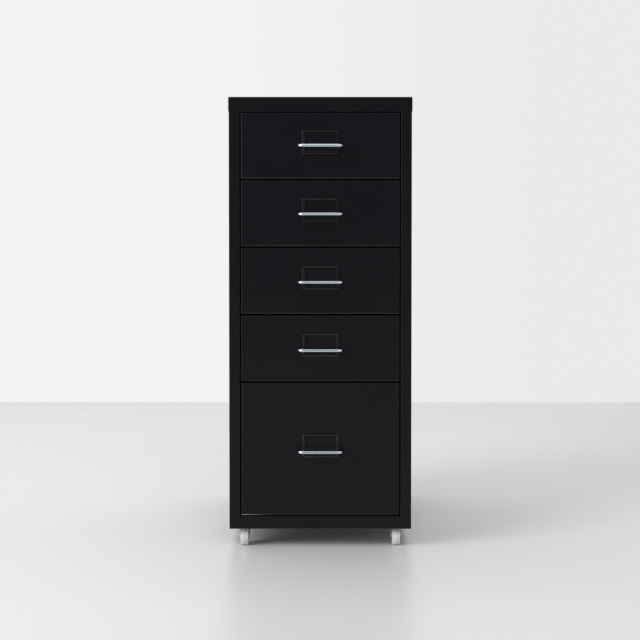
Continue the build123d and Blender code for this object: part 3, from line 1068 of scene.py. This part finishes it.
@dataclass
class CasterRivets(Fitting):
    """Domed rivets, four through each caster plate and the base."""

    spacing_x: float = 234.0 * MM
    front_y: float = -149.0 * MM
    rear_y: float = 175.0 * MM
    hole_spacing: float = 28.0 * MM
    low_z: float = 40.5 * MM
    high_z: float = 42.7 * MM
    shank: float = 1.8 * MM
    head: float = 3.4 * MM
    head_height: float = 0.9 * MM
    dome_steps: int = 5
    around: int = 20

    def blank(self) -> Mesh:
        """Builds one rivet with a domed head at each end.

        Returns:
            The rivet's mesh.
        """
        lower = dome(self.head, -self.head_height, self.low_z, self.dome_steps)
        upper = dome(self.head, self.head_height, self.high_z, self.dome_steps)
        profile = [*lower[::-1], (self.shank, self.low_z), (self.shank, self.high_z), *upper]
        shape = bmesh.new()
        lathe(shape, profile, self.around, Matrix(), False)
        return as_blank("domed_rivet", shape)

    def build(self) -> None:
        """Sets every rivet."""
        graph = GeometryGraph("rivet_squares")
        wide = graph.size("Caster Spacing X", self.spacing_x)
        deep = graph.size("Caster Spacing Y", self.rear_y - self.front_y)
        holes = graph.size("Hole Spacing", self.hole_spacing)
        middle = graph.size("Middle Y", (self.rear_y + self.front_y) / 2)
        square = {"Vertices X": 2, "Vertices Y": 2}
        casters = graph.make("MeshGrid", {"Size X": wide, "Size Y": deep, **square})
        around = graph.make("MeshGrid", {"Size X": holes, "Size Y": holes, **square})
        squares = graph.make("RealizeInstances", {0: graph.on_points(casters, around)})
        moved = graph.make("Transform", {"Geometry": squares, "Translation": graph.vector(0.0, middle)})
        graph.end(graph.on_points(moved, graph.blank), self.finishes.made[Slot.ZINC])
        piece = graph.shape("caster_domed_rivets", self.blank())
        settle(piece, "cabinet", Slot.ZINC, "caster_rivets")


@dataclass
class SpotWelds(DrawerFitting):
    """Small flat buttons under the paint, where the rails and the trays' flanges are welded on."""

    foot: float = 2.1 * MM
    top: float = 1.5 * MM
    rise: float = 0.14 * MM
    around: int = 12
    sunk: float = 0.02 * MM
    rail_web: float = 1.0 * MM
    rail_rise: float = 9.0 * MM
    rail_places: tuple[float, ...] = (-168.0 * MM, -161.5 * MM, 189.0 * MM, 200.0 * MM)
    flange_face: float = -185.6 * MM
    flange_x: float = 113.4 * MM
    flange_margin: float = 6.0 * MM
    rim_drop: float = 24.0 * MM
    seam_x: Point = (-62.0 * MM, 0.0, 62.0 * MM)
    seam_drop: float = 0.5 * MM
    facing: str = "facing"

    def tree(self, name: str, material: Material) -> GeometryGraph:
        """Builds the tree that sets a button on every marked place.

        Args:
            name: The tree's name.
            material: The paint over the welds.

        Returns:
            The tree.
        """
        graph = GeometryGraph(name)
        button = graph.make("MeshCone", {
            "Vertices": graph.size("Around", self.around),
            "Radius Top": graph.size("Top Radius", self.top),
            "Radius Bottom": graph.size("Foot Radius", self.foot),
            "Depth": graph.size("Rise", self.rise),
        })
        facing = graph.make("InputNamedAttribute", {"Name": self.facing}, data_type="FLOAT_VECTOR")
        turn = graph.make("FunctionNodeAlignRotationToVector", {"Vector": facing}, axis="Z")
        graph.end(graph.on_points(graph.blank, button, Rotation=turn), material)
        return graph

    def marks(self, name: str, places: Sequence[tuple[Vector, Vector]]) -> Mesh:
        """Marks the welds' places.

        Args:
            name: The mesh's name.
            places: Each weld's place on the sheet and the direction that it faces.

        Returns:
            A mesh of single points.
        """
        mesh = bpy.data.meshes.new(name)
        mesh.from_pydata([place - facing * self.sunk for place, facing in places], [], [])
        attribute = mesh.attributes.new(self.facing, "FLOAT_VECTOR", "POINT")
        for item, (_, facing) in zip(attribute.data, places):
            item.vector = facing
        return mesh

    def rail_welds(self) -> list[tuple[Vector, Vector]]:
        """The welds on the rails' webs and on the top guides.

        Returns:
            Each weld's place on the sheet and the direction that it faces.
        """
        places = []
        for node in [f"right_rail_{number}" for number in range(1, 6)] + ["top_guides"]:
            low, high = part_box(node)
            for side in (-1, 1):
                x, facing = side * (high[0] - self.rail_web), Vector((-side, 0.0, 0.0))
                places += [(Vector((x, y, low[2] + self.rail_rise)), facing) for y in self.rail_places]
        return places

    def tray_welds(self, body: str) -> list[tuple[Vector, Vector]]:
        """The welds on one tray's front flange.

        Args:
            body: The drawer's body.

        Returns:
            Each weld's place on the sheet and the direction that it faces.
        """
        facing = Vector((0.0, 1.0, 0.0))
        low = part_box(f"{body}_tray")[0][2] + self.flange_margin
        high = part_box(f"{body}_front")[1][2] - self.rim_drop
        places = [(side * self.flange_x, z) for side in (-1, 1) for z in (low, (low + high) / 2, high)]
        places += [(x, low - self.seam_drop) for x in self.seam_x]
        return [(Vector((x, self.flange_face, z)), facing) for x, z in places]

    def build(self) -> None:
        """Sets the welds of the cabinet and of every drawer."""
        rails = self.tree("rail_weld_buttons", self.finishes.made[Slot.BLACK_RAILS])
        piece = rails.shape("rail_spot_welds", self.marks("rail_weld_places", self.rail_welds()))
        settle(piece, "cabinet", Slot.BLACK_RAILS)
        trays = self.tree("tray_weld_buttons", self.finishes.made[Slot.BLACK_STEEL])
        for body in self.drawers:
            marks = self.marks(f"{body}_weld_places", self.tray_welds(body))
            settle(trays.shape(f"{body}_spot_welds", marks), body, Slot.BLACK_STEEL)


@dataclass
class SeamTabs(Fitting):
    """Small tabs of sheet behind the seams between the plinth and the stiles."""

    seam_x: float = 123.4 * MM
    front_y: float = -186.28 * MM
    sheet: float = 0.65 * MM
    half_width: float = 4.0 * MM
    low_z: float = 30.8 * MM
    high_z: float = 41.8 * MM
    corner: float = 1.2 * MM
    corner_steps: int = 6

    def build(self) -> None:
        """Cuts both tabs."""
        shape = bmesh.new()
        for x in (-self.seam_x, self.seam_x):
            low, high = (x - self.half_width, self.low_z), (x + self.half_width, self.high_z)
            outline = rounded(low, high, self.corner, self.corner_steps)
            faces = [
                ring(shape, [Vector((across, y, up)) for across, up in outline])
                for y in (self.front_y, self.front_y + self.sheet)
            ]
            skin(shape, faces)
            for loop in faces:
                shape.faces.new(loop)
        piece = as_piece("plinth_seam_tabs", shape, self.finishes.made[Slot.BLACK_STEEL])
        settle(piece, "cabinet", Slot.BLACK_STEEL)


# Casters


@dataclass
class Caster(Fitting):
    """One swivel caster's moving pieces: pressed fork, riveted axle and moulded wheel."""

    corner: Corner
    swivel_x: float = 117.0 * MM
    front_y: float = -149.0 * MM
    rear_y: float = 175.0 * MM
    trail: float = 13.0 * MM
    crown_z: Pair = (35.7 * MM, 37.3 * MM)
    crown: float = 12.5 * MM
    crown_steps: int = 8
    bore: float = 3.05 * MM
    track: tuple[Pair, ...] = (  # radius and depth of the balls' track
        (10.7 * MM, 0.0), (10.1 * MM, 0.35 * MM), (9.1 * MM, 0.5 * MM),
        (8.1 * MM, 0.35 * MM), (7.5 * MM, 0.0),
    )
    leg_x: Pair = (6.7 * MM, 7.8 * MM)
    leg_top: float = 18.0 * MM
    leg_shares: tuple[float, ...] = (0.2, 0.45, 0.7, 0.9, 0.95, 1.0)  # from the axle to the crown
    leg_flares: Point = (1.0 * MM, 0.35 * MM, 0.08 * MM)  # at the last three, from the crown down
    leg_round: float = 0.28 * MM
    foot: float = 3.6 * MM
    foot_steps: int = 48
    foot_angles: range = range(12, 91, 13)
    axle: float = 2.0 * MM
    axle_head: float = 3.0 * MM
    axle_head_height: float = 0.8 * MM
    axle_head_steps: int = 6
    axle_around: int = 32
    wheel: float = 15.5 * MM
    tread: float = 15.44 * MM
    wheel_half: float = 6.0 * MM
    shoulder: float = 1.5 * MM
    shoulder_steps: int = 6
    rim_inside: float = 12.0 * MM
    web_half: float = 3.8 * MM
    hub_ring: float = 6.0 * MM
    hub: float = 4.6 * MM
    hub_half: float = 6.4 * MM
    wheel_bore: float = 2.05 * MM
    small_round: float = 0.35 * MM
    draft: float = 0.1 * MM
    hub_step: Pair = (0.05 * MM, 0.21 * MM)
    parting: Pair = (0.16 * MM, 0.06 * MM)  # half widths of the parting line's foot and top
    around: int = 72

    @property
    def pivot(self) -> Vector:
        """The swivel's axis at the floor."""
        side, end = self.corner.value
        return Vector((side * self.swivel_x, self.front_y if end < 0 else self.rear_y, 0.0))

    @property
    def hub_place(self) -> Vector:
        """The middle of the wheel."""
        return self.pivot + Vector((0.0, -self.trail, self.wheel))

    def assemble(self, made: str, part: str, shape: Shape, slot: Slot, body: str) -> None:
        """Turns mesh work into one of the caster's pieces and puts it on its body.

        Args:
            made: How the piece is made, which its name begins with.
            part: The part that it stands for.
            shape: The closed shape, which is freed.
            slot: The slot that it takes its finish from.
            body: The body that carries it.
        """
        caster = self.corner.body
        piece = as_piece(f"{caster}_{made}_{part}", shape, self.finishes.made[slot])
        settle(piece, f"{caster}_{body}", slot, f"{caster}_{part}")

    def leg_spans(self) -> list[Point]:
        """The leg's height and its front and rear edges there, from the foot up.

        Returns:
            Height, lowest Y and highest Y of each station, Y from the swivel's axis.
        """
        top = self.crown_z[0]
        circle = arc((-self.trail, self.wheel), self.foot, 0, 360, self.foot_steps)[:-1]
        corners = [(-self.leg_top / 2, top), (self.leg_top / 2, top)]
        points = [Vector(point) for point in circle + corners]
        hull = [points[index] for index in convex_hull_2d(points)]
        heights = [self.wheel - self.foot * math.cos(math.radians(angle)) for angle in self.foot_angles]
        heights += [self.wheel + (top - self.wheel) * share for share in self.leg_shares]
        spans = []
        for height in heights:
            crossings = []
            for start, end in zip(hull, hull[1:] + hull[:1]):
                low, high = min(start.y, end.y), max(start.y, end.y)
                if low <= height <= high and high - low > LEVEL:
                    share = (height - start.y) / (end.y - start.y)
                    crossings.append(start.x + (end.x - start.x) * share)
            spans.append((height, min(crossings), max(crossings)))
        return spans

    def add_leg(self, shape: Shape, side: int) -> None:
        """Adds one leg, rounded along its edges and flared where it meets the crown.

        Args:
            shape: The mesh work.
            side: The sign of its X from the swivel's axis.
        """
        spans = self.leg_spans()
        inner, outer = self.leg_x
        flares = [0.0] * (len(spans) - len(self.leg_flares)) + [*self.leg_flares[::-1]]
        small = self.leg_round
        rings = []
        for (height, front, rear), flare in zip(spans, flares):
            far = outer + flare
            edge = [(inner, front + small), (inner + small, front)]
            edge += [(far - small, front), (far, front + small), (far, rear - small)]
            edge += [(far - small, rear), (inner + small, rear), (inner, rear - small)]
            rings.append(ring(shape, [self.pivot + Vector((side * x, y, height)) for x, y in edge]))
        foot = [vert.co.copy() for vert in rings[0]]
        drop = spans[0][0] - self.wheel + self.foot
        tip = sum(foot, Vector()) / len(foot) - Vector((0.0, 0.0, drop))
        skin(shape, [ring(shape, [tip]), *rings])
        shape.faces.new(rings[-1])

    def build_fork(self) -> None:
        """Presses the fork: a round crown with a ball track, and two legs."""
        low, high = self.crown_z
        edge, half = self.crown, (high - low) / 2
        rim = arc((edge - half, low + half), half, -90, 90, self.crown_steps)
        track = [(radius, high - depth) for radius, depth in self.track]
        profile = [(self.bore, low), *rim, *track, (self.bore, high)]
        shape = bmesh.new()
        lathe(shape, profile, self.around, Matrix.Translation(self.pivot), True)
        for side in (-1, 1):
            self.add_leg(shape, side)
        self.assemble("pressed", "fork", shape, Slot.ZINC, "swivel")

    def build_axle(self) -> None:
        """Rivets the axle, with a domed head outside each leg."""
        seat = self.leg_x[1]
        head = dome(self.axle_head, self.axle_head_height, seat, self.axle_head_steps)
        half = [(self.axle, seat), *head]
        profile = [(radius, -height) for radius, height in half[::-1]] + half
        shape = bmesh.new()
        lathe(shape, profile, self.axle_around, lying(self.hub_place, "X"), False)
        self.assemble("riveted", "axle", shape, Slot.ZINC, "swivel")

    def wheel_half_profile(self) -> list[Pair]:
        """One half of the wheel's profile, from the bore's mouth to the parting line.

        Returns:
            Radius and distance from the wheel's middle plane.
        """
        small, draft, (step, drop) = self.small_round, self.draft, self.hub_step
        rim, boss, half, web = self.rim_inside, self.hub_ring, self.wheel_half, self.web_half
        foot, top = self.parting
        middle = (self.tread - self.shoulder, half - self.shoulder)
        return [
            (self.wheel_bore, self.hub_half), (self.hub - small, self.hub_half),
            (self.hub, self.hub_half - drop), (self.hub + step, half),
            (boss - small, half), (boss, half - small),
            (boss + draft, web + small), (boss + small, web),
            (rim - small, web), (rim - draft, web + small),
            (rim, half - small), (rim + small, half),
            *arc(middle, self.shoulder, 90, 0, self.shoulder_steps),
            (self.tread, foot), (self.wheel, top),
        ]

    def build_wheel(self) -> None:
        """Moulds the wheel and marks its tread for the scuffs."""
        half = self.wheel_half_profile()
        profile = half + [(radius, -height) for radius, height in half[::-1]]
        shape = bmesh.new()
        mark = shape.verts.layers.float.new(self.finishes.nylon.tread_attribute)
        rings = lathe(shape, profile, self.around, lying(self.hub_place, "X"), True)
        start = self.tread - self.shoulder
        for (radius, _), loop in zip(profile, rings):
            share = min(max((radius - start) / self.shoulder, 0.0), 1.0)
            for vert in loop:
                vert[mark] = share ** 2
        self.assemble("moulded", "wheel", shape, Slot.WHITE_NYLON, "wheel_body")

    def build(self) -> None:
        """Builds the caster's moving pieces."""
        self.build_fork()
        self.build_axle()
        self.build_wheel()


# Studio


@dataclass
class Lamp:
    """A soft rectangular lamp aimed at a point."""

    name: str
    place: Point
    target: Point
    size: Pair
    power: float
    mirrored: bool = True

    def light(self) -> None:
        """Adds the lamp to the scene."""
        data = bpy.data.lights.new(self.name, "AREA")
        data.shape = "RECTANGLE"
        data.size, data.size_y = self.size
        data.energy = self.power
        lamp = linked(self.name, data)
        lamp.location = self.place
        aim = Vector(self.target) - Vector(self.place)
        lamp.rotation_euler = aim.to_track_quat("-Z", "Y").to_euler()
        lamp.visible_glossy = self.mirrored


@dataclass
class Studio:
    """Pale floor, soft lamps, white surroundings and the camera that looks squarely at the fronts."""

    floor_half_width: float = 3.0
    floor_front: float = -4.0
    floor_rear: float = 1.506
    floor_colour: Colour = (0.78, 0.78, 0.773)
    floor_shade: float = 0.965
    floor_patch: float = 0.8
    floor_stretch: Point = (0.4, 2.0, 1.0)
    floor_roughness: float = 0.36
    wall_left: Colour = (0.893, 0.893, 0.893)
    wall_right: Colour = (0.823, 0.823, 0.823)
    wall_turn: Pair = (-0.10, 0.16)
    fill_level: float = 0.53
    flag_y: float = -4.2
    flag_left: float = -3.4
    flag_right: Pair = (1.5, 0.1)  # at the floor and at the top
    flag_top: float = 3.2
    flag_colour: Colour = (0.02, 0.02, 0.02)
    flag_roughness: float = 0.9
    camera_place: Point = (-0.0005, -2.324, 0.508)
    camera_pitch: float = 1.86
    lens: float = 78.95
    sensor: float = 36.0
    shift_y: float = -0.09
    lamps: tuple[Lamp, ...] = (
        Lamp("key_left", (-4.3, -3.3, 2.6), (0.0, -0.1, 0.35), (3.0, 3.0), 195.0),
        Lamp("strip_left", (-2.3, -1.3, 0.75), (0.0, -0.2, 0.45), (0.3, 1.3), 7.5),
        Lamp("over_camera", (0.4, -3.0, 3.0), (0.0, -0.3, 0.2), (2.4, 1.6), 27.0, mirrored=False),
        Lamp("overhead", (-0.3, 0.8, 2.6), (-0.1, 0.5, 0.0), (2.8, 2.0), 26.0),
    )

    def sheet(self, name: str, corners: Sequence[Point], material: Material) -> Object:
        """A flat stage sheet.

        Args:
            name: The object's name.
            corners: Its four corners.
            material: Its material.

        Returns:
            The sheet.
        """
        mesh = bpy.data.meshes.new(name)
        mesh.from_pydata(corners, [], [(0, 1, 2, 3)])
        mesh.materials.append(material)
        sheet = linked(name, mesh)
        return sheet

    def floor(self) -> None:
        """Lays the pale floor, which ends where the wall begins."""
        graph = MaterialGraph("pale_floor")
        patches = graph.noise(graph.place(self.floor_stretch), self.floor_patch)
        shaded = tuple(self.floor_shade * value for value in self.floor_colour)
        colour = graph.mix(graph.span(patches, USUAL, SHARE), self.floor_colour, shaded)
        graph.fill(graph.shader, {"Base Color": colour, "Roughness": self.floor_roughness})
        half, front, rear = self.floor_half_width, self.floor_front, self.floor_rear
        corners = [(-half, front, 0.0), (half, front, 0.0), (half, rear, 0.0), (-half, rear, 0.0)]
        self.sheet("floor", corners, graph.material)

    def flag(self) -> None:
        """Hangs the dark cloth behind the camera that keeps the paint black and the wires lined."""
        graph = MaterialGraph("dark_flag")
        cloth = {"Base Color": (*self.flag_colour, 1.0), "Roughness": self.flag_roughness}
        graph.fill(graph.shader, cloth)
        y, top = self.flag_y, self.flag_top
        left, (right_low, right_high) = self.flag_left, self.flag_right
        corners = [(left, y, 0.0), (left, y, top), (right_high, y, top), (right_low, y, 0.0)]
        flag = self.sheet("flag", corners, graph.material)
        flag.visible_camera = flag.visible_diffuse = flag.visible_shadow = False
        flag.visible_transmission = False

    def surroundings(self) -> None:
        """Sets white surroundings for the camera and for reflections, and a dimmer fill for the rest."""
        world = bpy.data.worlds.new("white_room")
        world.use_nodes = True
        bpy.context.scene.world = world
        graph = ShaderGraph(world.node_tree)
        graph.tree.nodes.clear()
        rays = graph.add("LightPath").outputs
        seen = rays["Is Camera Ray"]
        for name in ("Is Glossy Ray", "Is Transmission Ray"):
            seen = graph.math("MAXIMUM", seen, rays[name])
        across = graph.add("SeparateXYZ", {0: graph.add("TexCoord").outputs["Generated"]}).outputs["X"]
        turn = graph.span(across, self.wall_turn, SHARE, interpolation_type="SMOOTHSTEP")
        tone = graph.mix(turn, self.wall_left, self.wall_right)
        fill = graph.add("Background", {"Strength": self.fill_level}).outputs[0]
        wall = graph.add("Background", {"Color": tone}).outputs[0]
        blend = graph.add("MixShader", {0: seen, 1: fill, 2: wall}).outputs[0]
        graph.add("OutputWorld", {"Surface": blend})

    def camera(self) -> None:
        """Places the camera at the photograph's viewpoint."""
        data = bpy.data.cameras.new("camera")
        data.lens, data.sensor_width, data.shift_y = self.lens, self.sensor, self.shift_y
        camera = linked("camera", data)
        camera.location = self.camera_place
        camera.rotation_euler = (math.pi / 2 - math.radians(self.camera_pitch), 0.0, 0.0)
        bpy.context.scene.camera = camera

    def build(self) -> None:
        """Sets up the whole studio."""
        bpy.context.scene.view_settings.view_transform = "Standard"
        self.floor()
        self.flag()
        self.surroundings()
        for lamp in self.lamps:
            lamp.light()
        self.camera()


def handle_heights(drop: float = 0.9 * MM) -> dict[str, float]:
    """The height of every handle, a little below the middle of its drawer front.

    Args:
        drop: How far below.

    Returns:
        The height by the drawer's body.
    """
    heights = {}
    for number in range(1, 6):
        low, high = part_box(f"drawer_{number}_front")
        heights[f"drawer_{number}"] = (low[2] + high[2]) / 2 - drop
    return heights


def main() -> None:
    """Dresses the cabinet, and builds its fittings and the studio."""
    logging.basicConfig(level=logging.INFO, format="%(name)s: %(message)s")
    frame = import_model()
    finishes = Finishes()
    finishes.make()
    finishes.dress_nodes(frame)
    drawers = handle_heights()
    WireHandles(finishes, drawers).build()
    PushOnWashers(finishes, drawers).build()
    LabelHolders(finishes, drawers).build()
    BackScrews(finishes).build()
    CasterRivets(finishes).build()
    SpotWelds(finishes, drawers).build()
    SeamTabs(finishes).build()
    for corner in Corner:
        Caster(finishes, corner).build()
    Studio().build()


if __name__ == "__main__":
    main()
